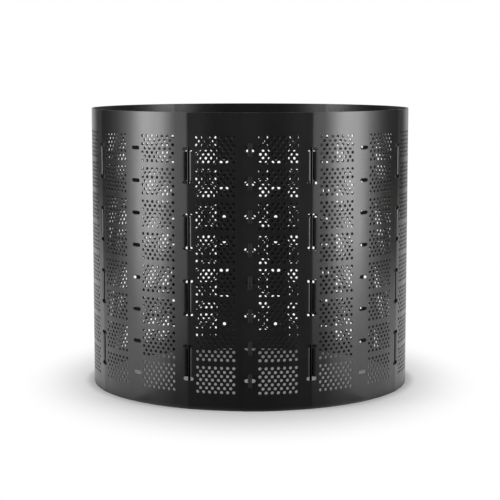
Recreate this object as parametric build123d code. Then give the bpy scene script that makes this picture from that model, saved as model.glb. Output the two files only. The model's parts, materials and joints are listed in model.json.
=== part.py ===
from build123d import *
import math
import os

# Compost bin: one perforated sheet rolled into an open ring, closed by twist keys along a lap seam
# and stiffened by straight rods that weave in and out through slots.
# Millimetres, +Z up, origin on the ground at the centre of the ring, seam and keys toward -Y.
# Angles are in degrees from -Y toward +X.

# Sheet
HEIGHT = 914.0
SHEET = 2.5
COLUMNS = 17
COLUMN_PITCH = 194.0
CLEARANCE = 0.5
PITCH_ANGLE = 360.0 / COLUMNS
MID_RADIUS = COLUMN_PITCH * COLUMNS / (2 * math.pi)

# Rods: a steel tube with a plastic coat and a plug in each end, in every second slot column
ROD_DIAMETER = 8.0
ROD_BELOW_RIM = 30.0
ROD_COAT = 0.7
TUBE_WALL = 0.8
PLUG_HEAD = 6.0
PLUG_STEM = 18.0
PLUG_PLAY = 0.1
FOOT_ROUND = 1.0
TOP_ROUND = 3.0
ROD_LENGTH = HEIGHT - ROD_BELOW_RIM
TUBE_DIAMETER = ROD_DIAMETER - 2 * ROD_COAT
PLUG_STEM_DIAMETER = TUBE_DIAMETER - 2 * TUBE_WALL - 2 * PLUG_PLAY
ROD_RADIUS = MID_RADIUS - SHEET / 2 - CLEARANCE - ROD_DIAMETER / 2
ROD_SIDE = range(1, COLUMNS // 2, 2)
ROD_COLUMNS = sorted([*ROD_SIDE, *(COLUMNS - column for column in ROD_SIDE)])

# Channel pressed inward behind a rod, between two slots: a round bed, short walls and rounded shoulders
CHANNEL_WALL = 0.75
CHANNEL_STEPS = 6
CHANNEL_BED = ROD_DIAMETER / 2 + CLEARANCE + SHEET / 2
CHANNEL_SHOULDER = CHANNEL_BED - CHANNEL_WALL
CHANNEL_HALF = CHANNEL_BED + CHANNEL_SHOULDER
CHANNEL_DEPTH = CHANNEL_BED + CHANNEL_WALL + CHANNEL_SHOULDER

# Slots: one column of them per bay, in an even number of rows because the rods pair them
SLOT_END = 6.25
SLOT_HEIGHT = 12.0
SLOT_PITCH = 101.0
LOWEST_SLOT = 95.0
SLOT_TO_RIM = 100.0
SLOT_WIDTH = 2 * (CHANNEL_HALF + SLOT_END)
SLOT_PAIRS = int((HEIGHT - LOWEST_SLOT - SLOT_TO_RIM + SLOT_PITCH) // (2 * SLOT_PITCH))
SLOT_LEVELS = [LOWEST_SLOT + SLOT_PITCH * row for row in range(2 * SLOT_PAIRS)]

# Vent holes: one block per slot row, between two slot columns
HOLE_DIAMETER = 10.0
HOLE_STEP = 9.5
HOLE_ROWS = 7
BLOCK_LEAD = 25.4
BLOCK_TAIL = 45.0
HOLE_ROW_PITCH = SLOT_PITCH / (HOLE_ROWS + 1)
HOLE_COLUMNS = int((COLUMN_PITCH - BLOCK_LEAD - BLOCK_TAIL) // HOLE_STEP)
BLOCK_FACETS = HOLE_COLUMNS // 2 + 1
FACET_WIDTH = 2 * HOLE_STEP

# A bay runs from just before its slot column to just before the next one
BAY_LAND = 13.0
BAY_LEAD = SLOT_WIDTH / 2 + BAY_LAND
LEAD_FACETS = 3
SLOT_FACETS = 3
LAND_FACETS = 2
TAIL_FACETS = 2
LAP_FACETS = 6

# Lap seam: the first bay lies over the end of the last one
LAP_LAND = 8.0
LAP_GAP = 0.4
LAP_REACH = SLOT_WIDTH / 2 + LAP_LAND
LAP_RISE = SHEET + LAP_GAP

# Twist keys: the neck turns in the slot, and the tab passes through it lengthwise
HANDLE_LENGTH = 42.0
HANDLE_WIDTH = 12.6
HANDLE_THICKNESS = 7.0
HANDLE_CORNER = 2.5
HANDLE_ROUND = 1.6
TAB_PLAY = 1.25
TAB_THICKNESS = 4.0
TAB_CLEARANCE = 0.7
TAB_CHAMFER = 0.8
NECK_DIAMETER = SLOT_HEIGHT - 2 * CLEARANCE
TAB_WIDTH = SLOT_HEIGHT - 2 * CLEARANCE
TAB_LENGTH = SLOT_WIDTH - 2 * TAB_PLAY


def to_angle(length):
    """Angle in degrees of an arc of this length on the middle of the sheet."""
    return math.degrees(length / MID_RADIUS)


def radial(angle):
    """Outward unit vector at an angle."""
    turn = math.radians(angle)
    return math.sin(turn), -math.cos(turn)


def ring_point(angle, radius):
    """Plan point at an angle and radius."""
    x, y = radial(angle)
    return radius * x, radius * y


def spaced(start, end, count):
    """Angles from start up to, not including, end in equal steps."""
    return [start + (end - start) * step / count for step in range(count)]


BLOCK_START = to_angle(BLOCK_LEAD + HOLE_STEP / 2 - FACET_WIDTH / 2)
BLOCK_END = BLOCK_START + to_angle(FACET_WIDTH * BLOCK_FACETS)
BAY_START = -to_angle(BAY_LEAD)
BAY_END = PITCH_ANGLE + BAY_START
CHANNEL_ANGLE = to_angle(CHANNEL_HALF)


def lap_radius(angle):
    """Middle radius of the overlapping bay: raised at the seam, back on the ring at its far end."""
    hold = to_angle(LAP_REACH)
    share = (angle - hold) / (BAY_END - hold)
    share = min(max(share, 0.0), 1.0)
    return MID_RADIUS + LAP_RISE * (1 - share * share * (3 - 2 * share))


def bay_angles(start, end):
    """Fold angles of a bay: one hole column in the middle of each facet, the next on the fold after it."""
    angles = spaced(start, -CHANNEL_ANGLE, LEAD_FACETS)
    angles += spaced(-CHANNEL_ANGLE, CHANNEL_ANGLE, SLOT_FACETS)
    angles += spaced(CHANNEL_ANGLE, BLOCK_START, LAND_FACETS)
    angles += spaced(BLOCK_START, BLOCK_END, BLOCK_FACETS)
    angles += spaced(BLOCK_END, BAY_END, TAIL_FACETS)
    if end > BAY_END:
        angles += spaced(BAY_END, end, LAP_FACETS)
    return angles + [end]


def channel_path():
    """Middle line of the channel as angle and radius pairs."""
    turns = [math.pi / 2 * step / CHANNEL_STEPS for step in range(CHANNEL_STEPS + 1)]
    bed = [(CHANNEL_BED * math.sin(turn), CHANNEL_DEPTH - CHANNEL_BED * (1 - math.cos(turn))) for turn in turns]
    shoulder = [
        (CHANNEL_HALF - CHANNEL_SHOULDER * math.sin(turn), CHANNEL_SHOULDER * (1 - math.cos(turn)))
        for turn in reversed(turns)
    ]
    side = bed + shoulder
    mirrored = [(-offset, depth) for offset, depth in reversed(side[1:])]
    path = []
    for offset, depth in mirrored + side:
        radius = MID_RADIUS - depth
        path.append((math.degrees(offset / radius), radius))
    return path


def band(path):
    """Plan face of the sheet along a middle line, square to the ring at both ends."""
    points = [Vector(*ring_point(angle, radius)) for angle, radius in path]
    outer = []
    inner = []
    for index, (angle, _) in enumerate(path):
        normal = Vector(*radial(angle))
        if 0 < index < len(path) - 1:
            before = (points[index] - points[index - 1]).normalized()
            after = (points[index + 1] - points[index]).normalized()
            along = (before + after).normalized()
            normal = Vector(along.Y, -along.X) / along.dot(after)
        outer.append(points[index] + normal * (SHEET / 2))
        inner.append(points[index] - normal * (SHEET / 2))
    return make_face(Polyline(*outer, *reversed(inner), close=True))


def facing(angle, radius, level):
    """Plane at a point of the wall: x along the ring, y up, z outward."""
    x, y = radial(angle)
    return Plane(origin=(*ring_point(angle, radius), level), x_dir=(-y, x, 0), z_dir=(x, y, 0))


def slot_tools(angle):
    """Solids that cut one column of slots."""
    outline = SlotOverall(SLOT_WIDTH, SLOT_HEIGHT)
    depth = CHANNEL_DEPTH + 2 * SHEET
    return [extrude(facing(angle, MID_RADIUS, level) * outline, depth, both=True) for level in SLOT_LEVELS]


def hole_tools(path):
    """Solids that cut all the vent holes of a bay, each square to the facet or fold it is on."""
    folds = [ring_point(angle, radius) for angle, radius in path]
    angles = [angle for angle, _ in path]
    first = min(range(len(angles)), key=lambda index: abs(angles[index] - BLOCK_START))
    tools = []
    for column in range(HOLE_COLUMNS):
        before = first + column // 2
        after = before + 1 + column % 2
        (x0, y0), (x1, y1) = folds[before], folds[after]
        middle = ((x0 + x1) / 2, (y0 + y1) / 2)
        along = Vector(x1 - x0, y1 - y0, 0)
        outward = Vector(y1 - y0, x0 - x1, 0)
        for level in SLOT_LEVELS:
            for row in range(column % 2, HOLE_ROWS, 2):
                height = level + (row - (HOLE_ROWS - 1) / 2) * HOLE_ROW_PITCH
                place = Plane(origin=(*middle, height), x_dir=along, z_dir=outward)
                tools.append(place * Cylinder(HOLE_DIAMETER / 2, 3 * SHEET))
    return tools


def channels():
    """Pressed channels of a rod column and the windows they replace, as two lists."""
    profile = band(channel_path())
    edges = [(-CHANNEL_ANGLE, -1), (CHANNEL_ANGLE, -1), (CHANNEL_ANGLE, 1), (-CHANNEL_ANGLE, 1)]
    corners = [ring_point(angle, MID_RADIUS + side * CHANNEL_DEPTH) for angle, side in edges]
    window = make_face(Polyline(*corners, close=True))
    straps = []
    windows = []
    for level in SLOT_LEVELS[::2]:
        straps.append(Pos(0, 0, level) * extrude(profile, SLOT_PITCH))
        windows.append(Pos(0, 0, level) * extrude(window, SLOT_PITCH))
    return straps, windows


def wall_bay(start=BAY_START, end=BAY_END, lapped=False, with_rod=False):
    """One bay of the sheet at the seam position, with its slots and vent holes."""
    radius_at = lap_radius if lapped else lambda angle: MID_RADIUS
    path = [(angle, radius_at(angle)) for angle in bay_angles(start, end)]
    bay = extrude(band(path), HEIGHT)
    if with_rod:
        straps, windows = channels()
        bay = (bay - windows) + straps
    tools = slot_tools(0) + hole_tools(path)
    if end > BAY_END:
        tools += slot_tools(PITCH_ANGLE)
    return bay - tools


def rod_sleeve():
    """Plastic coat of a rod, standing on the ground on the Z axis."""
    length = ROD_LENGTH - 2 * PLUG_HEAD
    ring = Circle(ROD_DIAMETER / 2) - Circle(TUBE_DIAMETER / 2)
    return Pos(0, 0, PLUG_HEAD) * extrude(ring, length)


def rod_tube():
    """Steel tube inside the coat."""
    length = ROD_LENGTH - 2 * PLUG_HEAD
    ring = Circle(TUBE_DIAMETER / 2) - Circle(TUBE_DIAMETER / 2 - TUBE_WALL)
    return Pos(0, 0, PLUG_HEAD) * extrude(ring, length)


def rod_plug(rounding):
    """End plug with its head down at zero and its stem up inside the tube."""
    head = extrude(Circle(ROD_DIAMETER / 2), PLUG_HEAD)
    head = fillet(head.edges().sort_by(Axis.Z)[0], rounding)
    return head + Pos(0, 0, PLUG_HEAD) * extrude(Circle(PLUG_STEM_DIAMETER / 2), PLUG_STEM)


def twist_key():
    """Locked key: handle outside, neck through both sheets, tab inside; handle upright, x along the ring."""
    back = SHEET / 2 + LAP_RISE + CLEARANCE
    front = SHEET / 2 + TAB_CLEARANCE
    upright = Plane(origin=(0, 0, 0), x_dir=(0, 0, 1), z_dir=(0, -1, 0))
    outline = RectangleRounded(HANDLE_LENGTH, HANDLE_WIDTH, HANDLE_CORNER)
    handle = extrude(upright.offset(back) * outline, HANDLE_THICKNESS)
    handle = fillet(handle.edges().group_by(Axis.Y)[0], HANDLE_ROUND)
    neck = extrude(upright.offset(-front) * Circle(NECK_DIAMETER / 2), front + back)
    tab = extrude(upright.offset(-front) * SlotOverall(TAB_LENGTH, TAB_WIDTH), -TAB_THICKNESS)
    tab = chamfer(tab.edges().group_by(Axis.Y)[-1], TAB_CHAMFER)
    return handle + neck + tab


def place(shape, column, radius=0.0):
    """A shape turned to a column and, if asked, moved out to a radius."""
    return Rot(0, 0, column * PITCH_ANGLE) * Pos(0, -radius, 0) * shape


def save(shape, name):
    """Writes one sub-part."""
    export_step(shape, f"parts/{name}.step", write_pcurves=False)


def main():
    os.makedirs("parts", exist_ok=True)
    plain = wall_bay()
    with_rod = wall_bay(with_rod=True)
    first = wall_bay(start=-to_angle(LAP_REACH), lapped=True)
    last = wall_bay(end=PITCH_ANGLE + to_angle(LAP_REACH), with_rod=True)
    for column in range(COLUMNS):
        bay = with_rod if column in ROD_COLUMNS else plain
        if column == 0:
            bay = first
        if column == COLUMNS - 1:
            bay = last
        save(place(bay, column), f"wall_bay_{column + 1:02d}")

    for index, column in enumerate(ROD_COLUMNS):
        name = f"rod_{index + 1:02d}"
        save(place(rod_tube(), column, ROD_RADIUS), f"{name}_tube")
        save(place(rod_sleeve(), column, ROD_RADIUS), f"{name}_sleeve")
        save(place(rod_plug(FOOT_ROUND), column, ROD_RADIUS), f"{name}_foot_plug")
        top = Pos(0, 0, ROD_LENGTH) * Rot(180, 0, 0) * rod_plug(TOP_ROUND)
        save(place(top, column, ROD_RADIUS), f"{name}_top_plug")

    for index, level in enumerate(SLOT_LEVELS):
        save(Pos(0, -MID_RADIUS, level) * twist_key(), f"key_{index + 1:02d}")


main()
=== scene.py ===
"""Looks of a compost bin: a perforated sheet rolled into a ring, its twist keys and its woven rods."""
import json
import logging
import math
from contextlib import contextmanager
from dataclasses import dataclass
from enum import Enum
from typing import Callable, Iterator, Sequence

import bpy
import numpy as np
from bpy.types import Material, MeshEdge, NodeSocket, NodeTree, Object
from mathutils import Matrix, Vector

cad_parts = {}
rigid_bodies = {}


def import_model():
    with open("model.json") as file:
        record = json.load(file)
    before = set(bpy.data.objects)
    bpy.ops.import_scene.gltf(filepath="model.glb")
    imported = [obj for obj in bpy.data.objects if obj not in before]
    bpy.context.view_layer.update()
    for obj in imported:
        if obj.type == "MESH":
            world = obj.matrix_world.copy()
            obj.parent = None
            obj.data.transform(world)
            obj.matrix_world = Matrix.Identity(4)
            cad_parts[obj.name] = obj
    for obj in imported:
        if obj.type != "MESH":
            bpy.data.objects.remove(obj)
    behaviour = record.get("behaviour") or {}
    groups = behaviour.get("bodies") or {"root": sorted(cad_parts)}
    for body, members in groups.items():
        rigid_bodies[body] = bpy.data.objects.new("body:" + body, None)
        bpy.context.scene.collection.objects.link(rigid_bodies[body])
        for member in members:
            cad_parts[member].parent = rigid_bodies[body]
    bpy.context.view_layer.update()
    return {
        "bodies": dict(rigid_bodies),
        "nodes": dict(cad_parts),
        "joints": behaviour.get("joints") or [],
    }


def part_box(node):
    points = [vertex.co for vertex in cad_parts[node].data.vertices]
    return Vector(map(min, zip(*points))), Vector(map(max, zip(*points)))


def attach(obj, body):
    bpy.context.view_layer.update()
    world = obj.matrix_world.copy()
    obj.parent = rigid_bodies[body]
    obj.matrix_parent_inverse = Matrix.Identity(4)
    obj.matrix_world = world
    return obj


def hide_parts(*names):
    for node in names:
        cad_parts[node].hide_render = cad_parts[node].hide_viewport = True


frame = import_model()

LOG = logging.getLogger("compost_bin")
MM = 0.001
MERGE = 0.02 * MM
SMOOTH_LIMIT = math.radians(32)
BEVEL_LIMIT = math.radians(50)
WHITE = (1, 1, 1, 1)
COOL_TINT = (1, 1, 1.04)
DUST_TINT = (1, 0.97, 0.92)
DUST_SCALE = 9
GLOSS_SCALE = 26
NOISE_DETAIL = 4
NOISE_MIDDLE = (0.35, 0.68)


class SlotUse(Enum):
    """What goes through a column of slots."""

    KEY = "key"
    ROD = "rod"
    SPARE = "spare"


def only(piece: Object) -> None:
    """Selects one object alone and makes it active.

    Args:
        piece: The object to work on.
    """
    bpy.ops.object.select_all(action="DESELECT")
    piece.select_set(True)
    bpy.context.view_layer.objects.active = piece


@contextmanager
def editing(piece: Object) -> Iterator[None]:
    """Opens a piece in edit mode, all of it selected, and leaves edit mode at the end.

    Args:
        piece: The mesh object to edit.
    """
    only(piece)
    bpy.ops.object.mode_set(mode="EDIT")
    bpy.ops.mesh.select_all(action="SELECT")
    yield
    bpy.ops.object.mode_set(mode="OBJECT")


@contextmanager
def editing_edges(piece: Object, chosen: Callable[[MeshEdge], bool]) -> Iterator[None]:
    """Opens a piece in edit mode with chosen edges selected, and leaves edit mode at the end.

    Args:
        piece: The mesh object to edit.
        chosen: Tells whether an edge is selected.
    """
    bpy.context.tool_settings.mesh_select_mode = (False, True, False)
    with editing(piece):
        bpy.ops.mesh.select_all(action="DESELECT")
    for edge in piece.data.edges:
        edge.select = chosen(edge)
    only(piece)
    bpy.ops.object.mode_set(mode="EDIT")
    yield
    bpy.ops.object.mode_set(mode="OBJECT")
    bpy.context.tool_settings.mesh_select_mode = (True, False, False)


def named(piece: Object, name: str) -> Object:
    """Names an object and its mesh, and returns the object."""
    piece.name = name
    piece.data.name = name
    return piece


def apply_modifier(piece: Object, kind: str, **settings: object) -> None:
    """Adds a modifier and applies it.

    Args:
        piece: The mesh object.
        kind: The modifier's type, as Blender names it.
        settings: The modifier's own settings by name.
    """
    only(piece)
    modifier = piece.modifiers.new(kind.lower(), kind)
    for setting, value in settings.items():
        setattr(modifier, setting, value)
    bpy.ops.object.modifier_apply(modifier=modifier.name)


def repeat(piece: Object, count: int, step: tuple[float, float, float]) -> None:
    """Repeats a piece in a row, a step apart, with the copies welded where they touch."""
    apply_modifier(
        piece, "ARRAY", count=count, use_relative_offset=False, use_constant_offset=True,
        constant_offset_displace=step, use_merge_vertices=True, merge_threshold=MERGE,
    )


def copy_of(piece: Object) -> Object:
    """Returns a copy of an object with its own mesh."""
    only(piece)
    bpy.ops.object.duplicate()
    return bpy.context.object


def moved(piece: Object, offset: Sequence[float]) -> Object:
    """Moves a piece and keeps its place in its mesh.

    Args:
        piece: The object to move.
        offset: How far it goes along each axis.

    Returns:
        The same object, back at the origin.
    """
    only(piece)
    piece.location = offset
    bpy.ops.object.transform_apply(location=True, rotation=True, scale=True)
    return piece


def joined(pieces: Sequence[Object], name: str) -> Object:
    """Joins pieces into one object and welds the vertices that meet.

    Args:
        pieces: The mesh objects, which become one.
        name: The name of the result.

    Returns:
        The joined object.
    """
    only(pieces[0])
    for piece in pieces:
        piece.select_set(True)
    bpy.ops.object.join()
    whole = named(bpy.context.object, name)
    with editing(whole):
        bpy.ops.mesh.remove_doubles(threshold=MERGE)
    return whole


def smooth(piece: Object) -> None:
    """Shades a piece smooth, apart from its sharp edges."""
    only(piece)
    bpy.ops.object.shade_smooth_by_angle(angle=SMOOTH_LIMIT)


def dress(piece: Object, finish: Material) -> None:
    """Gives a new piece, or a solid that stays, one material all over."""
    piece.data.materials.clear()
    piece.data.materials.append(finish)


def points_of(piece: Object) -> np.ndarray:
    """Returns a mesh's vertices as rows of three numbers."""
    flat = np.empty(len(piece.data.vertices) * 3)
    piece.data.vertices.foreach_get("co", flat)
    return flat.reshape(-1, 3)


def put_points(piece: Object, points: np.ndarray) -> None:
    """Writes rows of three numbers back as a mesh's vertices."""
    piece.data.vertices.foreach_set("co", points.ravel())
    piece.data.update()


def panel(columns: Sequence[float], rows: Sequence[float]) -> Object:
    """Flat grid with its lines at chosen places.

    Args:
        columns: Places of the upright lines, along the sheet.
        rows: Heights of the level lines.

    Returns:
        The grid object, in the plane of the unrolled sheet.
    """
    across = len(columns) - 1
    upward = len(rows) - 1
    bpy.ops.mesh.primitive_grid_add(x_subdivisions=across, y_subdivisions=upward, size=1)
    grid = bpy.context.object
    points = points_of(grid)
    line = np.rint((points[:, 0] + 0.5) * across).astype(int)
    level = np.rint((points[:, 1] + 0.5) * upward).astype(int)
    points[:, 0] = np.asarray(columns)[line]
    points[:, 1] = np.asarray(rows)[level]
    put_points(grid, points)
    return grid


def lathe(profile: Sequence[tuple[float, float]], sides: int) -> Object:
    """Closed round piece on the Z axis, pulled up ring by ring from a filled circle.

    Args:
        profile: Radius and height of each ring, from the lowest up.
        sides: How many sides the rings have.

    Returns:
        The new object.
    """
    radius, height = profile[0]
    bpy.ops.mesh.primitive_circle_add(
        vertices=sides, radius=radius, fill_type="NGON", location=(0, 0, height)
    )
    piece = moved(bpy.context.object, (0, 0, height))
    with editing(piece):
        for next_radius, next_height in profile[1:]:
            rise = (0, 0, next_height - height)
            bpy.ops.mesh.extrude_region_move(TRANSFORM_OT_translate={"value": rise})
            share = next_radius / radius
            bpy.ops.transform.resize(value=(share, share, 1), center_override=(0, 0, next_height))
            radius, height = next_radius, next_height
        bpy.ops.mesh.select_all(action="SELECT")
        bpy.ops.mesh.normals_make_consistent(inside=False)
    return piece


@dataclass(frozen=True)
class Ring:
    """Where the sheet, its slots and its rods are, read from the frame.

    Attributes:
        radius: Radius of the middle of the sheet.
        height: Height of the sheet.
        columns: Number of slot columns round the ring.
        levels: Heights of the slot rows.
        uses: What goes through each slot column.
    """

    radius: float
    height: float
    columns: int
    levels: tuple[float, ...]
    uses: tuple[SlotUse, ...]

    @classmethod
    def from_frame(cls) -> "Ring":
        """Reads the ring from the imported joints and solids.

        Returns:
            The ring that the solids follow.
        """
        turns = [joint for joint in frame["joints"] if joint["type"] == "hinge"]
        levels = tuple(sorted(joint["pos_m"][2] for joint in turns))
        columns = sum(name.startswith("wall_bay_") for name in frame["nodes"])
        uses = [SlotUse.SPARE] * columns
        uses[0] = SlotUse.KEY
        for body in frame["bodies"]:
            if body.startswith("rod_"):
                low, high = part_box(f"{body}_sleeve")
                middle = (low + high) / 2
                share = math.atan2(middle.x, -middle.y) / math.tau
                uses[round(share * columns) % columns] = SlotUse.ROD
        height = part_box("wall_bay_01")[1].z
        return cls(-turns[0]["pos_m"][1], height, columns, levels, tuple(uses))

    @property
    def pitch(self) -> float:
        """Distance from one slot column to the next, along the sheet."""
        return math.tau * self.radius / self.columns

    @property
    def row_pitch(self) -> float:
        """Distance from one slot row to the next."""
        return self.levels[1] - self.levels[0]

    def angle(self, column: int) -> float:
        """Turn from the seam to a slot column, in radians."""
        return math.tau * column / self.columns


@dataclass
class Sheet:
    """The perforated sheet, modelled flat and wrapped onto the ring bay by bay.

    Flat points have x along the sheet from a bay's slot column, y up, and z outward.
    """

    ring: Ring
    thickness: float = 2.5 * MM
    slot_width: float = 34.0 * MM
    slot_height: float = 12.0 * MM
    slot_end_lines: int = 5
    hole_diameter: float = 10.0 * MM
    hole_sides: int = 16
    hole_step: float = 9.5 * MM
    stagger: float = 2.2 * MM
    hole_columns: int = 13
    holes_in_block: int = 4
    tile_rows: int = 6
    margin_rows: int = 5
    block_lead: float = 25.4 * MM
    bay_lead: float = 30.0 * MM
    lap_reach: float = 25.0 * MM
    lap_rise: float = 2.9 * MM
    edge_line: float = 0.5 * MM
    side_line: float = 20.5 * MM
    channel_bed: float = 5.75 * MM
    channel_shoulder: float = 5.0 * MM
    channel_depth: float = 11.5 * MM
    channel_lines: int = 12
    flare_depth: float = 0.25 * MM
    flare_reach: float = 3.5 * MM
    flare_ease: int = 4
    ridge_reach: float = 39.0 * MM
    ridge_round: float = 2.5 * MM
    ripple: float = 0.15 * MM
    ripple_waves: tuple[int, int] = (7, 12)
    ripple_drift: tuple[float, float] = (2.0, 3.0)

    @property
    def row_step(self) -> float:
        """Distance between two mesh rows: an even share of a tile."""
        return self.tile_height / self.tile_rows

    @property
    def tile_height(self) -> float:
        """Height of the cell round one vent hole."""
        return self.ring.row_pitch / self.holes_in_block

    @property
    def block_end(self) -> float:
        """Where the vent block ends, from its slot column."""
        return self.block_lead + self.hole_step * self.hole_columns

    @property
    def bay_end(self) -> float:
        """Where a bay ends, from its slot column."""
        return self.ring.pitch - self.bay_lead

    @property
    def lattice(self) -> tuple[float, float]:
        """Lowest and highest mesh row of the vents and slots."""
        half_block = self.ring.row_pitch / 2
        low = self.ring.levels[0] - half_block
        high = self.ring.levels[-1] + half_block + self.tile_height / 2
        return low, high

    def rows(self) -> list[float]:
        """Heights of the mesh rows from foot to rim.

        Returns:
            Rows of the plain margins and, between them, of the vents and slots.
        """
        low, high = self.lattice
        count = round((high - low) / self.row_step)
        inner = [low + self.row_step * row for row in range(count + 1)]
        below = list(np.linspace(0, low, self.margin_rows)[:-1])
        above = list(np.linspace(high, self.ring.height, self.margin_rows)[1:])
        return below + inner + above

    def vent_tile(self) -> Object:
        """One cell with a vent hole: a circle whose edge is pulled out onto the cell's border.

        Returns:
            The tile, with its hole at the origin.
        """
        bpy.ops.mesh.primitive_circle_add(
            vertices=self.hole_sides, radius=self.hole_diameter / 2, fill_type="NOTHING"
        )
        tile = bpy.context.object
        with editing(tile):
            bpy.ops.mesh.extrude_edges_move()
        turn = math.tau / self.hole_sides
        quarter = self.hole_sides // 4
        for vertex in tile.data.vertices:
            if vertex.select:
                sector = round(math.atan2(vertex.co.y, vertex.co.x) / turn)
                side = 0.0 if abs(sector) == quarter else math.copysign(0.5, vertex.co.x)
                steps = sector if abs(sector) <= quarter else math.copysign(2 * quarter, sector) - sector
                steps = max(min(steps, quarter - 1), 1 - quarter)
                vertex.co = (side * self.hole_step, steps * self.row_step, 0)
        tile.data.update()
        if sum(face.area * face.normal.z for face in tile.data.polygons) < 0:
            with editing(tile):
                bpy.ops.mesh.flip_normals()
        return tile

    def blank_tile(self) -> Object:
        """One plain cell with the same border as a vent tile."""
        half = self.tile_height / 2
        columns = [-self.hole_step / 2, 0, self.hole_step / 2]
        return panel(columns, list(np.linspace(-half, half, self.tile_rows + 1)))

    def vent_column(self, broken: bool) -> Object:
        """A full-height column of vents.

        Args:
            broken: Whether the last cell of each block is plain, as in every second column.

        Returns:
            The column, with its first hole at the origin.
        """
        column = self.vent_tile()
        blocks = len(self.ring.levels)
        if not broken:
            repeat(column, blocks * self.holes_in_block, (0, self.tile_height, 0))
            return column
        repeat(column, self.holes_in_block - 1, (0, self.tile_height, 0))
        plain = moved(self.blank_tile(), (0, (self.holes_in_block - 1) * self.tile_height, 0))
        column = joined([column, plain], "vents")
        repeat(column, blocks, (0, self.ring.row_pitch, 0))
        return column

    def vent_block(self) -> Object:
        """All the vents of a bay, with the plain sheet above and below them.

        Returns:
            The block, in its place beside the slot column.
        """
        low, high = self.lattice
        half = self.hole_step / 2
        rows = self.rows()
        pieces = []
        for index in range(self.hole_columns):
            broken = index % 2 == 1
            middle = self.block_lead + (index + 0.5) * self.hole_step
            start = low + self.tile_height * (1.0 if broken else 0.5)
            pieces.append(moved(self.vent_column(broken), (middle, start, 0)))
            gap = (low, start - self.tile_height / 2) if broken else (high - self.tile_height / 2, high)
            lines = list(np.linspace(*gap, self.tile_rows // 2 + 1))
            pieces.append(panel([middle - half, middle, middle + half], lines))
        columns = list(np.linspace(self.block_lead, self.block_end, 2 * self.hole_columns + 1))
        pieces.append(panel(columns, rows[: self.margin_rows]))
        pieces.append(panel(columns, rows[-self.margin_rows :]))
        block = joined(pieces, "vent_block")
        self.make_room(block)
        return block

    def make_room(self, block: Object) -> None:
        """Bends the lines between vent columns round the holes, which are wider than a column.

        Args:
            block: The block with straight lines between its columns.
        """
        points = points_of(block)
        low, high = self.lattice
        line = np.rint((points[:, 0] - self.block_lead) / self.hole_step)
        straight = self.block_lead + line * self.hole_step
        between = np.abs(points[:, 0] - straight) < MERGE
        rise = (np.clip(points[:, 1], low, high) - low) / self.tile_height
        bend = 1 - 2 * np.abs(2 * (rise % 1) - 1)
        bend[line % 2 == 0] *= -1
        bend[line == 0] = -1
        bend[line == self.hole_columns] = 1
        points[between, 0] += self.stagger * bend[between]
        put_points(block, points)

    def slot_lift(self, reach: np.ndarray) -> np.ndarray:
        """Half height of a slot at a distance from its middle.

        Args:
            reach: Distances along the sheet.

        Returns:
            Half heights, nought beyond the slot's ends.
        """
        radius = self.slot_height / 2
        beyond = np.clip(reach - (self.slot_width / 2 - radius), 0, radius)
        return np.sqrt(radius**2 - beyond**2)

    def slot_columns(self, middle: float) -> list[float]:
        """Upright mesh lines across a slot, closer toward its round ends.

        Args:
            middle: Place of the slot column along the sheet.

        Returns:
            The lines from end to end.
        """
        radius = self.slot_height / 2
        turns = np.linspace(0, math.pi / 2, self.slot_end_lines + 1)[1:]
        ends = self.slot_width / 2 - radius + radius * np.sin(turns)
        inner = np.linspace(-1, 1, 2 * self.channel_lines + 1) * self.channel_half
        return list(middle + np.concatenate([-ends[::-1], inner, ends]))

    def slot_strip(self, before: Sequence[float], middle: float, after: Sequence[float]) -> Object:
        """A strip of sheet with one column of slots.

        Args:
            before: Mesh lines left of the slots.
            middle: Place of the slot column.
            after: Mesh lines right of the slots.

        Returns:
            The strip, with its slots split along their middles and opened.
        """
        strip = panel([*before, *self.slot_columns(middle), *after], self.rows())
        levels = np.asarray(self.ring.levels)
        points = points_of(strip)
        row = np.abs(points[:, 1, None] - levels).min(axis=1) < MERGE
        inside = np.abs(points[:, 0] - middle) < self.slot_width / 2 + MERGE
        split = row & inside
        with editing_edges(strip, lambda edge: all(split[end] for end in edge.vertices)):
            bpy.ops.mesh.edge_split(type="EDGE")
        self.open_slots(strip, middle)
        return strip

    def open_slots(self, strip: Object, middle: float) -> None:
        """Pulls the two lips of each split slot apart to its outline.

        Args:
            strip: The strip with split slots.
            middle: Place of the slot column.
        """
        points = points_of(strip)
        levels = np.asarray(self.ring.levels)
        offsets = points[:, 1, None] - levels
        nearest = np.abs(offsets).argmin(axis=1)
        offset = offsets[np.arange(len(points)), nearest]
        side = np.sign(offset)
        for face in strip.data.polygons:
            for index in face.vertices:
                if abs(offset[index]) < MERGE:
                    side[index] = math.copysign(1, face.center.y - levels[nearest[index]])
        reach = self.tile_height / 2
        fade = np.clip(1 - np.abs(offset) / reach, 0, 1)
        points[:, 1] += side * fade * self.slot_lift(np.abs(points[:, 0] - middle))
        put_points(strip, points)

    def flat_bay(self, block: Object, lead: float) -> Object:
        """One bay of the unrolled sheet.

        Args:
            block: The vent block to copy.
            lead: How far the bay starts before its slot column.

        Returns:
            The flat bay.
        """
        before = [-lead, self.edge_line - lead, -self.side_line]
        strip = self.slot_strip(before, 0, [self.side_line, self.block_lead - self.stagger])
        start = self.block_end + self.stagger
        tail = [start, (start + self.bay_end) / 2, self.bay_end - self.edge_line, self.bay_end]
        return joined([strip, copy_of(block), panel(tail, self.rows())], "flat_bay")

    def under_lap(self) -> Object:
        """The end of the sheet that lies under the seam, with its own slots.

        Returns:
            The flat strip that follows the last bay.
        """
        pitch = self.ring.pitch
        far = pitch + self.lap_reach
        after = [pitch + self.side_line, far - self.edge_line, far]
        return self.slot_strip([self.bay_end, pitch - self.side_line], pitch, after)

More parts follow.
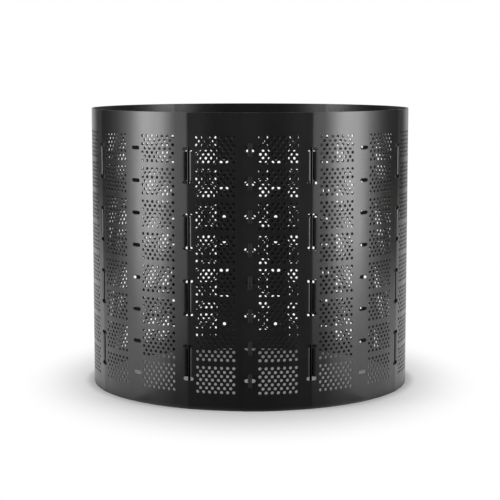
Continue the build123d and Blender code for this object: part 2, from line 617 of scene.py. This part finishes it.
    def flat_bays(self) -> list[Object]:
        """The whole unrolled sheet, with a plain bay modelled once and copied.

        Returns:
            The flat bays in order, each on its own slot column.
        """
        block = self.vent_block()
        first = self.flat_bay(block, self.lap_reach)
        plain = self.flat_bay(block, self.bay_lead)
        bays = [first] + [copy_of(plain) for _ in range(self.ring.columns - 2)]
        bays.append(joined([plain, self.under_lap()], "last_bay"))
        bpy.data.objects.remove(block)
        return bays

    @property
    def channel_half(self) -> float:
        """Half width of the channel behind a rod."""
        return self.channel_bed + self.channel_shoulder

    def window(self, height: np.ndarray) -> np.ndarray:
        """Place within the windows between paired slots, where the rods run outside.

        Args:
            height: Heights above the ground.

        Returns:
            Shares from nought to 1 up a window, or nought elsewhere.
        """
        share = np.zeros(len(height))
        for level in self.ring.levels[::2]:
            rise = (height - level) / self.ring.row_pitch
            inside = (rise > 0) & (rise < 1)
            share[inside] = rise[inside]
        return share

    def ridge(self, reach: np.ndarray) -> np.ndarray:
        """How far the sheet stands out in a soft crease over a rod, by the distance from the rod's slots."""
        eased = np.hypot(reach, self.ridge_round)
        return np.clip(self.ridge_reach - eased, 0, None) ** 2 / (2 * self.ring.radius)

    def channel(self, along: np.ndarray) -> tuple[np.ndarray, np.ndarray]:
        """The pressed channel: a round bed behind the rod and a round shoulder at each side.

        Args:
            along: Places along the sheet from the rod's slot column, within the channel.

        Returns:
            The places moved along the sheet, and their depths.
        """
        share = np.abs(along) / self.channel_half
        on_bed = share < 0.5
        turn = math.pi * np.where(on_bed, share, 1 - share)
        bed = self.channel_bed
        shoulder = self.channel_shoulder
        place = np.where(on_bed, bed * np.sin(turn), self.channel_half - shoulder * np.sin(turn))
        fall = 1 - np.cos(turn)
        depth = np.where(on_bed, self.channel_depth - bed * fall, shoulder * fall)
        return np.copysign(place, along), depth

    def over_rod(self, along: np.ndarray, height: np.ndarray) -> tuple[np.ndarray, np.ndarray]:
        """Shape of the sheet round a rod: creased over it, and pressed in behind it in the windows.

        Args:
            along: Places along the sheet from the rod's slot column.
            height: Heights above the ground.

        Returns:
            The places moved along the sheet, and how far they stand out.
        """
        reach = np.abs(along)
        rise = self.window(height)
        out = self.ridge(reach)
        beyond = np.clip(reach - self.channel_half, 0, None)
        strength = np.where(rise > 0, 1 - (2 * rise - 1) ** self.flare_ease, 0)
        out -= strength * self.flare_depth * np.exp(-beyond / self.flare_reach)
        pressed = (rise > 0) & (reach < self.channel_half)
        moved_along = along.copy()
        moved_along[pressed], depth = self.channel(along[pressed])
        edge = self.ridge(np.array([self.channel_half]))[0]
        out[pressed] += edge * reach[pressed] / self.channel_half - self.ridge(reach[pressed]) - depth
        return moved_along, out

    def lap(self, along: np.ndarray) -> np.ndarray:
        """How far the first bay stands out over the last one, by the distance from the seam's slots."""
        share = np.clip((along - self.lap_reach) / (self.bay_end - self.lap_reach), 0, 1)
        return self.lap_rise * (1 - share**2 * (3 - 2 * share))

    def ripples(self, turn: np.ndarray, height: np.ndarray) -> np.ndarray:
        """Slight waves of the sheet, in whole numbers round the ring so that its bays meet.

        Args:
            turn: Angles round the ring.
            height: Heights above the ground.

        Returns:
            How far the sheet stands out.
        """
        few, many = self.ripple_waves
        forward, back = self.ripple_drift
        rise = height / self.ring.height
        slow = np.sin(few * turn + forward * rise) * np.cos(few * rise)
        return self.ripple * (slow + np.sin(many * turn - back * rise))

    def wrap(self, bay: Object, column: int) -> None:
        """Rolls a flat bay onto its place on the ring.

        Args:
            bay: The flat bay.
            column: The bay's slot column.
        """
        ring = self.ring
        points = points_of(bay)
        along, height = points[:, 0].copy(), points[:, 1].copy()
        out = self.ripples(ring.angle(column) + along / ring.radius, height)
        if ring.uses[(column + 1) % ring.columns] is SlotUse.ROD:
            out += self.ridge(np.abs(along - ring.pitch))
        if column == 0:
            out += self.lap(along)
        if ring.uses[column] is SlotUse.ROD:
            along, rod_relief = self.over_rod(along, height)
            out += rod_relief
        turn = ring.angle(column) + along / ring.radius
        radius = ring.radius + out
        put_points(bay, np.stack([radius * np.sin(turn), -radius * np.cos(turn), height], axis=1))

    def build(self, finish: Material) -> None:
        """Models every bay and dresses it.

        Args:
            finish: The sheet's material.
        """
        for column, bay in enumerate(self.flat_bays()):
            named(bay, f"sheet_{column + 1:02d}")
            self.wrap(bay, column)
            apply_modifier(bay, "SOLIDIFY", thickness=self.thickness, offset=0, use_even_offset=True)
            smooth(bay)
            dress(bay, finish)
            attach(bay, "wall")
            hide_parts(f"wall_bay_{column + 1:02d}")
            LOG.info("%s: %d faces", bay.name, len(bay.data.polygons))


@dataclass
class Rods:
    """The straight rods: a plastic coat with a crimp near each end, and a plug in each end."""

    sides: int = 40
    crimp_depth: float = 0.35 * MM
    crimp_width: float = 1.2 * MM
    crimp_inset: float = 14.0 * MM
    lip: float = 0.4 * MM
    dome_rings: int = 6
    foot_round: float = 1.0 * MM
    top_round: float = 3.0 * MM
    stem_radius: float = 2.4 * MM
    stem_chamfer: float = 0.8 * MM
    groove: float = 0.5 * MM

    def coat(self, radius: float, low: float, high: float) -> Object:
        """The coat on the Z axis.

        Args:
            radius: Outer radius.
            low: Height of its lower end.
            high: Height of its upper end.

        Returns:
            The new object.
        """
        waist = radius - self.crimp_depth
        crimp = low + self.crimp_inset
        lower = [
            (radius - self.lip, low),
            (radius, low + self.lip),
            (radius, crimp),
            (waist, crimp + self.crimp_depth),
            (waist, crimp + self.crimp_width),
            (radius, crimp + self.crimp_width + self.crimp_depth),
        ]
        upper = [(ring, low + high - height) for ring, height in reversed(lower)]
        return lathe(lower + upper, self.sides)

    def plug(self, radius: float, tip: float, seat: float, stem_end: float, rounding: float) -> Object:
        """An end plug on the Z axis, from its tip to the end of its stem.

        Args:
            radius: Radius of its head.
            tip: Height of the head's outer end.
            seat: Height where the head meets the coat.
            stem_end: Height of the stem's inner end.
            rounding: Radius of the head's round edge.

        Returns:
            The new object.
        """
        way = math.copysign(1, seat - tip)
        turns = np.linspace(0, math.pi / 2, self.dome_rings)
        middle = tip + way * rounding
        profile = [
            (radius - rounding * (1 - math.sin(turn)), middle - way * rounding * math.cos(turn))
            for turn in turns
        ]
        profile += [
            (radius, seat - 2 * way * self.groove),
            (radius - self.groove, seat - way * self.groove),
            (radius - self.groove, seat),
            (self.stem_radius, seat),
            (self.stem_radius, stem_end - way * self.stem_chamfer),
            (self.stem_radius - self.stem_chamfer, stem_end),
        ]
        return lathe(profile if way > 0 else list(reversed(profile)), self.sides)

    def build(self, coat_finish: Material, plug_finish: Material, steel_finish: Material) -> None:
        """Models each rod's pieces where its solids are.

        Args:
            coat_finish: Material of the coat.
            plug_finish: Material of the plugs.
            steel_finish: Material of the tube inside.
        """
        bodies = sorted(name for name in frame["bodies"] if name.startswith("rod_"))
        low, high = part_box(f"{bodies[0]}_sleeve")
        foot, foot_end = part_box(f"{bodies[0]}_foot_plug")
        top_end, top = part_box(f"{bodies[0]}_top_plug")
        radius = (high.x - low.x) / 2
        coat = self.coat(radius, low.z, high.z)
        foot_plug = self.plug(radius, foot.z, low.z, foot_end.z, self.foot_round)
        top_plug = self.plug(radius, top.z, high.z, top_end.z, self.top_round)
        patterns = {
            "sleeve": (coat, coat_finish, "rod_coat"),
            "foot_plug": (foot_plug, plug_finish, "rod_plug"),
            "top_plug": (top_plug, plug_finish, "rod_plug"),
        }
        for body in bodies:
            low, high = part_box(f"{body}_sleeve")
            middle = (low + high) / 2
            for node, (pattern, finish, slot) in patterns.items():
                piece = named(moved(copy_of(pattern), (middle.x, middle.y, 0)), f"{body}_{node}_dressed")
                smooth(piece)
                dress(piece, finish)
                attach(piece, body)
                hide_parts(f"{body}_{node}")
            dress(frame["nodes"][f"{body}_tube"], steel_finish)
            LOG.info("%s: coat and plugs", body)
        for pattern, _, _ in patterns.values():
            bpy.data.objects.remove(pattern)


@dataclass
class Keys:
    """The twist keys that close the lap seam."""

    handle_thickness: float = 7.0 * MM
    handle_corner: float = 2.5 * MM
    handle_round: float = 1.6 * MM
    round_steps: int = 5
    corner_steps: int = 10
    neck_radius: float = 5.5 * MM
    neck_sides: int = 32
    tab_thickness: float = 4.0 * MM
    tab_length: float = 31.5 * MM
    tab_round: float = 0.8 * MM

    def bar(
        self, size: Sequence[float], place: Sequence[float], corner: float, rounding: float
    ) -> Object:
        """An upright bar with round corners and eased edges.

        Args:
            size: Width, depth and length.
            place: Its middle.
            corner: Radius of its corners.
            rounding: Radius of its eased edges.

        Returns:
            The new object.
        """
        bpy.ops.mesh.primitive_cube_add(size=1)
        bar = bpy.context.object
        bar.scale = size
        bpy.ops.object.transform_apply(location=True, rotation=True, scale=True)
        depth = points_of(bar)[:, 1]
        with editing_edges(bar, lambda edge: abs(np.subtract(*depth[list(edge.vertices)])) > MERGE):
            bpy.ops.mesh.bevel(offset=corner, segments=self.corner_steps, affect="EDGES")
        apply_modifier(
            bar, "BEVEL", width=rounding, segments=self.round_steps,
            limit_method="ANGLE", angle_limit=BEVEL_LIMIT,
        )
        return moved(bar, place)

    def neck(self, outer: float, inner: float) -> Object:
        """The round neck, from inside the handle to inside the tab.

        Args:
            outer: Its end in the handle, along Y.
            inner: Its end in the tab, along Y.

        Returns:
            The new object.
        """
        bpy.ops.mesh.primitive_cylinder_add(
            vertices=self.neck_sides, radius=self.neck_radius, depth=inner - outer,
            location=(0, (outer + inner) / 2, 0), rotation=(math.pi / 2, 0, 0),
        )
        neck = bpy.context.object
        bpy.ops.object.transform_apply(location=True, rotation=True, scale=True)
        return neck

    def key(self, low: Vector, high: Vector) -> Object:
        """One key at ground level.

        Args:
            low: Lower corner of a key's solid.
            high: Upper corner of that solid.

        Returns:
            The key as one closed mesh.
        """
        size = high - low
        outer = low.y + self.handle_thickness / 2
        inner = high.y - self.tab_thickness / 2
        handle_size = (size.x, self.handle_thickness, size.z)
        handle = self.bar(handle_size, (0, outer, 0), self.handle_corner, self.handle_round)
        tab_size = (2 * self.neck_radius, self.tab_thickness, self.tab_length)
        tab = self.bar(tab_size, (0, inner, 0), self.neck_radius - MERGE, self.tab_round)
        for part in (self.neck(outer, inner), tab):
            apply_modifier(handle, "BOOLEAN", operation="UNION", object=part, solver="MANIFOLD")
            bpy.data.objects.remove(part)
        return handle

    def build(self, finish: Material) -> None:
        """Models every key and dresses it.

        Args:
            finish: The keys' material.
        """
        bodies = sorted(name for name in frame["bodies"] if name.startswith("key_"))
        pattern = self.key(*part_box(bodies[0]))
        for body in bodies:
            low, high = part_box(body)
            key = named(moved(copy_of(pattern), (0, 0, (low.z + high.z) / 2)), f"{body}_dressed")
            smooth(key)
            dress(key, finish)
            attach(key, body)
            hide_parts(body)
            LOG.info("%s: %d faces", key.name, len(key.data.polygons))
        bpy.data.objects.remove(pattern)


def noise(tree: NodeTree, scale: float, stretch: float, detail: float) -> NodeSocket:
    """A noise over a surface.

    Args:
        tree: The material's nodes.
        scale: Its scale, per metre.
        stretch: How much longer it is along the height.
        detail: How many finer layers it has.

    Returns:
        The noise's value.
    """
    place = tree.nodes.new("ShaderNodeTexCoord")
    mapping = tree.nodes.new("ShaderNodeMapping")
    mapping.inputs["Scale"].default_value = (1, 1, 1 / stretch)
    texture = tree.nodes.new("ShaderNodeTexNoise")
    texture.inputs["Scale"].default_value = scale
    texture.inputs["Detail"].default_value = detail
    tree.links.new(place.outputs["Object"], mapping.inputs["Vector"])
    tree.links.new(mapping.outputs["Vector"], texture.inputs["Vector"])
    return texture.outputs["Fac"]


def roughen(tree: NodeTree, relief: NodeSocket, depth: float) -> None:
    """Gives a material's shader a fine relief.

    Args:
        tree: The material's nodes.
        relief: The relief's height, from nought to 1.
        depth: Its full height, in metres.
    """
    bump = tree.nodes.new("ShaderNodeBump")
    bump.inputs["Distance"].default_value = depth
    tree.links.new(relief, bump.inputs["Height"])
    tree.links.new(bump.outputs["Normal"], tree.nodes["Principled BSDF"].inputs["Normal"])


def painted(name: str) -> Material:
    """Returns a new material with a plain shader."""
    made = bpy.data.materials.new(name)
    made.use_nodes = True
    return made


@dataclass(frozen=True)
class Plastic:
    """A black plastic with grain, faint dust and uneven gloss.

    Attributes:
        name: Name of the material.
        colour: Clean colour.
        dusty: Colour where fine dust lies.
        gloss: Lowest and highest roughness.
        specular: Strength of the reflection.
        grain: Scale of the fine surface grain, per metre.
        grain_depth: Height of that grain, in metres.
        streak: Stretch of the gloss pattern along the height.
    """

    name: str
    colour: float
    dusty: float
    gloss: tuple[float, float]
    specular: float
    grain: float
    grain_depth: float
    streak: float

    def pattern(
        self, tree: NodeTree, scale: float, stretch: float, reach: tuple[float, float]
    ) -> NodeSocket:
        """A noise with its middle mapped onto a range.

        Args:
            tree: The material's nodes.
            scale: Scale of the noise, per metre.
            stretch: How much longer it is along the height.
            reach: Results at the noise's low and high side.

        Returns:
            The mapped value.
        """
        node = tree.nodes.new("ShaderNodeMapRange")
        for end, value in zip(("From Min", "From Max", "To Min", "To Max"), (*NOISE_MIDDLE, *reach)):
            node.inputs[end].default_value = value
        tree.links.new(noise(tree, scale, stretch, NOISE_DETAIL), node.inputs["Value"])
        return node.outputs["Result"]

    def material(self) -> Material:
        """Builds the material.

        Returns:
            The new material.
        """
        made = painted(self.name)
        tree = made.node_tree
        shader = tree.nodes["Principled BSDF"]
        shader.inputs["Specular IOR Level"].default_value = self.specular
        tint = tree.nodes.new("ShaderNodeMix")
        tint.data_type = "RGBA"
        tint.inputs["A"].default_value = (*(self.colour * share for share in COOL_TINT), 1)
        tint.inputs["B"].default_value = (*(self.dusty * share for share in DUST_TINT), 1)
        dust = self.pattern(tree, DUST_SCALE, 1, (0, 1))
        tree.links.new(dust, tint.inputs["Factor"])
        tree.links.new(tint.outputs["Result"], shader.inputs["Base Color"])
        gloss = self.pattern(tree, GLOSS_SCALE, self.streak, self.gloss)
        tree.links.new(gloss, shader.inputs["Roughness"])
        roughen(tree, noise(tree, self.grain, 1, NOISE_DETAIL), self.grain_depth)
        return made


@dataclass(frozen=True)
class DrawnSteel:
    """The steel of the tubes inside the rods, with fine lines along their length."""

    name: str = "drawn_steel"
    colour: tuple[float, float, float] = (0.55, 0.55, 0.56)
    roughness: float = 0.32
    line_scale: float = 1400.0
    line_stretch: float = 60.0
    line_detail: float = 2.0
    line_depth: float = 0.02 * MM

    def material(self) -> Material:
        """Builds the material.

        Returns:
            The new material.
        """
        made = painted(self.name)
        tree = made.node_tree
        shader = tree.nodes["Principled BSDF"]
        shader.inputs["Base Color"].default_value = (*self.colour, 1)
        shader.inputs["Metallic"].default_value = 1
        shader.inputs["Roughness"].default_value = self.roughness
        lines = noise(tree, self.line_scale, self.line_stretch, self.line_detail)
        roughen(tree, lines, self.line_depth)
        return made


SHEET_FINISH = Plastic(
    "satin_sheet", colour=0.0115, dusty=0.0145, gloss=(0.28, 0.32), specular=0.6,
    grain=1500, grain_depth=0.03 * MM, streak=6,
)
COAT_FINISH = Plastic(
    "gloss_coat", colour=0.003, dusty=0.005, gloss=(0.12, 0.20), specular=0.3,
    grain=400, grain_depth=0.01 * MM, streak=20,
)
PLUG_FINISH = Plastic(
    "moulded_plug", colour=0.008, dusty=0.012, gloss=(0.40, 0.52), specular=0.4,
    grain=2200, grain_depth=0.03 * MM, streak=1,
)
KEY_FINISH = Plastic(
    "moulded_key", colour=0.021, dusty=0.027, gloss=(0.50, 0.60), specular=0.35,
    grain=2200, grain_depth=0.03 * MM, streak=1,
)


@dataclass(frozen=True)
class Lamp:
    """A rectangular soft lamp.

    Attributes:
        name: Name of the lamp.
        turn: Direction it stands in, in degrees from the front toward +X.
        distance: Distance of its middle from the ring's axis.
        height: Height of its middle.
        size: Width and height of its face.
        power: Its power in watts.
    """

    name: str
    turn: float
    distance: float
    height: float
    size: tuple[float, float]
    power: float

    def build(self, target: Vector) -> None:
        """Adds the lamp, facing a point.

        Args:
            target: The point that it faces.
        """
        turn = math.radians(self.turn)
        place = Vector((self.distance * math.sin(turn), -self.distance * math.cos(turn), self.height))
        bpy.ops.object.light_add(type="AREA", location=place)
        lamp = bpy.context.object
        lamp.name = self.name
        lamp.rotation_euler = (target - place).to_track_quat("-Z", "Y").to_euler()
        lamp.data.shape = "RECTANGLE"
        lamp.data.size, lamp.data.size_y = self.size
        lamp.data.energy = self.power
        lamp.visible_camera = False


@dataclass(frozen=True)
class Flag:
    """A dark cloth that keeps bright floor and backdrop out of the sheet's reflections.

    Attributes:
        name: Name of the cloth.
        turns: Where it starts and ends, in degrees from the front toward +X.
        profile: Radius and height of its lines, from the object out.
        shade: Its colour.
        folds: How many flat strips it has.
    """

    name: str
    turns: tuple[float, float]
    profile: tuple[tuple[float, float], ...]
    shade: float = 0.02
    folds: int = 24

    def build(self) -> None:
        """Adds the cloth, seen by reflections alone."""
        lines = np.radians(np.linspace(*self.turns, self.folds + 1))
        cloth = named(panel(list(lines), list(range(len(self.profile)))), self.name)
        points = points_of(cloth)
        turn = points[:, 0].copy()
        radius, height = np.asarray(self.profile)[np.rint(points[:, 1]).astype(int)].T
        put_points(cloth, np.stack([radius * np.sin(turn), -radius * np.cos(turn), height], axis=1))
        paint = painted(self.name)
        shader = paint.node_tree.nodes["Principled BSDF"]
        shader.inputs["Base Color"].default_value = (self.shade, self.shade, self.shade, 1)
        shader.inputs["Roughness"].default_value = 1
        shader.inputs["Specular IOR Level"].default_value = 0
        cloth.data.materials.append(paint)
        for ray in ("camera", "diffuse", "shadow", "transmission"):
            setattr(cloth, f"visible_{ray}", False)


@dataclass
class Studio:
    """Floor, backdrop light, lamps, dark cloths and camera."""

    floor_size: float = 60.0
    floor_colour: tuple[float, ...] = (0.9, 0.9, 0.9, 1.0)
    floor_roughness: float = 0.9
    floor_fade: tuple[float, float] = (0.44, 0.98)
    floor_stretch: float = 1.25
    floor_edge: float = 40 * MM
    fill: float = 0.25
    side_turn: float = 69.5
    side_distance: float = 3.4
    side_size: tuple[float, float] = (1.5, 2.3)
    side_power: float = 76.0
    top_height: float = 4.2
    top_size: tuple[float, float] = (3.6, 3.6)
    top_power: float = 20.0
    front_cloth: float = 46.0
    back_cloth: tuple[float, float] = (97.0, 128.0)
    rear_cloth: tuple[float, float] = (128.0, 139.0)
    cloth_radius: float = 3.0
    cloth_height: float = 3.0
    cloth_gap: float = 15 * MM
    cloth_lift: float = 2 * MM
    rear_lift: float = 0.3
    card: float = 12.0
    card_run: float = 1.4
    card_lift: float = 6 * MM
    card_gap: float = 50 * MM
    card_shade: float = 0.22
    camera_distance: float = 5.151
    camera_height: float = 1.0655
    camera_tilt: float = 6.98
    lens: float = 110.7

    def seen(self, tree: NodeTree) -> NodeSocket:
        """A value of 1 for camera, glossy and transmission rays.

        Args:
            tree: The nodes of the floor or the world.

        Returns:
            The value.
        """
        path = tree.nodes.new("ShaderNodeLightPath").outputs
        mirrored = self.combined(tree, "MAXIMUM", path["Is Glossy Ray"], path["Is Transmission Ray"])
        return self.combined(tree, "MAXIMUM", path["Is Camera Ray"], mirrored)

    def fade(self, tree: NodeTree, stretch: float, reach: tuple[float, float]) -> NodeSocket:
        """A value that rises from nought to 1 with the distance from the floor's middle.

        Args:
            tree: The nodes of the floor.
            stretch: How much sooner it rises to the sides.
            reach: Where it leaves nought and where it comes to 1.

        Returns:
            The value.
        """
        place = tree.nodes.new("ShaderNodeTexCoord")
        spread = tree.nodes.new("ShaderNodeVectorMath")
        spread.operation = "MULTIPLY"
        spread.inputs[1].default_value = (stretch, 1, 1)
        length = tree.nodes.new("ShaderNodeVectorMath")
        length.operation = "LENGTH"
        rise = tree.nodes.new("ShaderNodeMapRange")
        rise.interpolation_type = "SMOOTHSTEP"
        rise.inputs["From Min"].default_value, rise.inputs["From Max"].default_value = reach
        tree.links.new(place.outputs["Object"], spread.inputs[0])
        tree.links.new(spread.outputs["Vector"], length.inputs[0])
        tree.links.new(length.outputs["Value"], rise.inputs["Value"])
        return rise.outputs["Result"]

    def combined(
        self, tree: NodeTree, operation: str, first: NodeSocket, second: NodeSocket
    ) -> NodeSocket:
        """One value made of two.

        Args:
            tree: The nodes of the floor or the world.
            operation: How they are combined, as Blender names it.
            first: One value.
            second: The other value.

        Returns:
            The result.
        """
        node = tree.nodes.new("ShaderNodeMath")
        node.operation = operation
        tree.links.new(first, node.inputs[0])
        tree.links.new(second, node.inputs[1])
        return node.outputs["Value"]

    def floor(self, ring: Ring) -> None:
        """Adds the pale floor, which turns to plain white away from the object's shadow.

        Args:
            ring: The ring, inside which the floor keeps its shade.
        """
        bpy.ops.mesh.primitive_plane_add(size=self.floor_size)
        floor = named(bpy.context.object, "floor")
        paint = painted("pale_floor")
        tree = paint.node_tree
        shader = tree.nodes["Principled BSDF"]
        shader.inputs["Base Color"].default_value = self.floor_colour
        shader.inputs["Roughness"].default_value = self.floor_roughness
        shader.inputs["Specular IOR Level"].default_value = 0
        white = tree.nodes.new("ShaderNodeEmission")
        white.inputs["Strength"].default_value = 1
        mix = tree.nodes.new("ShaderNodeMixShader")
        away = self.fade(tree, self.floor_stretch, self.floor_fade)
        outside = self.fade(tree, 1.0, (ring.radius, ring.radius + self.floor_edge))
        open_floor = self.combined(tree, "MULTIPLY", away, outside)
        share = self.combined(tree, "MULTIPLY", open_floor, self.seen(tree))
        tree.links.new(share, mix.inputs["Fac"])
        tree.links.new(shader.outputs["BSDF"], mix.inputs[1])
        tree.links.new(white.outputs["Emission"], mix.inputs[2])
        tree.links.new(mix.outputs["Shader"], tree.nodes["Material Output"].inputs["Surface"])
        floor.data.materials.append(paint)

    def world(self) -> None:
        """Sets a white backdrop, and a lower fill light on the object."""
        world = bpy.data.worlds.new("studio")
        bpy.context.scene.world = world
        world.use_nodes = True
        tree = world.node_tree
        fill = tree.nodes["Background"]
        fill.inputs["Color"].default_value = WHITE
        fill.inputs["Strength"].default_value = self.fill
        white = tree.nodes.new("ShaderNodeBackground")
        white.inputs["Color"].default_value = WHITE
        white.inputs["Strength"].default_value = 1
        mix = tree.nodes.new("ShaderNodeMixShader")
        tree.links.new(self.seen(tree), mix.inputs["Fac"])
        tree.links.new(fill.outputs["Background"], mix.inputs[1])
        tree.links.new(white.outputs["Background"], mix.inputs[2])
        tree.links.new(mix.outputs["Shader"], tree.nodes["World Output"].inputs["Surface"])

    def lamps(self) -> None:
        """Adds the two tall side lamps and the wide lamp overhead."""
        height = self.side_size[1] / 2
        for name, turn in (("left_lamp", -self.side_turn), ("right_lamp", self.side_turn)):
            lamp = Lamp(name, turn, self.side_distance, height, self.side_size, self.side_power)
            lamp.build(Vector((0, 0, height)))
        Lamp("top_lamp", 0, 0, self.top_height, self.top_size, self.top_power).build(Vector((0, 0, 0)))

    def cloths(self, ring: Ring) -> None:
        """Hangs dark cloths in front and at the back of either side, and a grey card in the middle.

        Args:
            ring: The ring that the front cloth starts from.
        """
        head = (self.cloth_radius, self.cloth_height)
        foot = (ring.radius + self.cloth_gap, self.cloth_lift)
        run = (self.cloth_radius, self.cloth_lift)
        Flag("front_cloth", (-self.front_cloth, self.front_cloth), (foot, run, head)).build()
        radius = self.cloth_radius - self.card_gap
        card = ((self.card_run, self.card_lift), (radius, self.card_lift), (radius, self.cloth_height))
        Flag("grey_card", (-self.card, self.card), card, self.card_shade).build()
        sides = {"back": (self.back_cloth, 0.0), "rear": (self.rear_cloth, self.rear_lift)}
        for name, ((near, far), lift) in sides.items():
            wall = ((self.cloth_radius, lift), head)
            Flag(f"{name}_left_cloth", (-far, -near), wall).build()
            Flag(f"{name}_right_cloth", (near, far), wall).build()

    def camera(self) -> None:
        """Adds the camera at the photograph's angle."""
        tilt = math.radians(90 - self.camera_tilt)
        place = (0, -self.camera_distance, self.camera_height)
        bpy.ops.object.camera_add(location=place, rotation=(tilt, 0, 0))
        camera = bpy.context.object
        camera.data.lens = self.lens
        camera.data.clip_end = 2 * self.floor_size
        bpy.context.scene.camera = camera

    def build(self, ring: Ring) -> None:
        """Adds everything that isn't part of the object.

        Args:
            ring: The ring that the studio is set round.
        """
        self.floor(ring)
        self.world()
        self.lamps()
        self.cloths(ring)
        self.camera()
        bpy.context.scene.view_settings.view_transform = "Standard"


def main() -> None:
    """Builds the sheet, the rods, the keys and the studio."""
    logging.basicConfig(level=logging.INFO)
    ring = Ring.from_frame()
    Sheet(ring).build(SHEET_FINISH.material())
    Rods().build(COAT_FINISH.material(), PLUG_FINISH.material(), DrawnSteel().material())
    Keys().build(KEY_FINISH.material())
    Studio().build(ring)


if __name__ == "__main__":
    main()
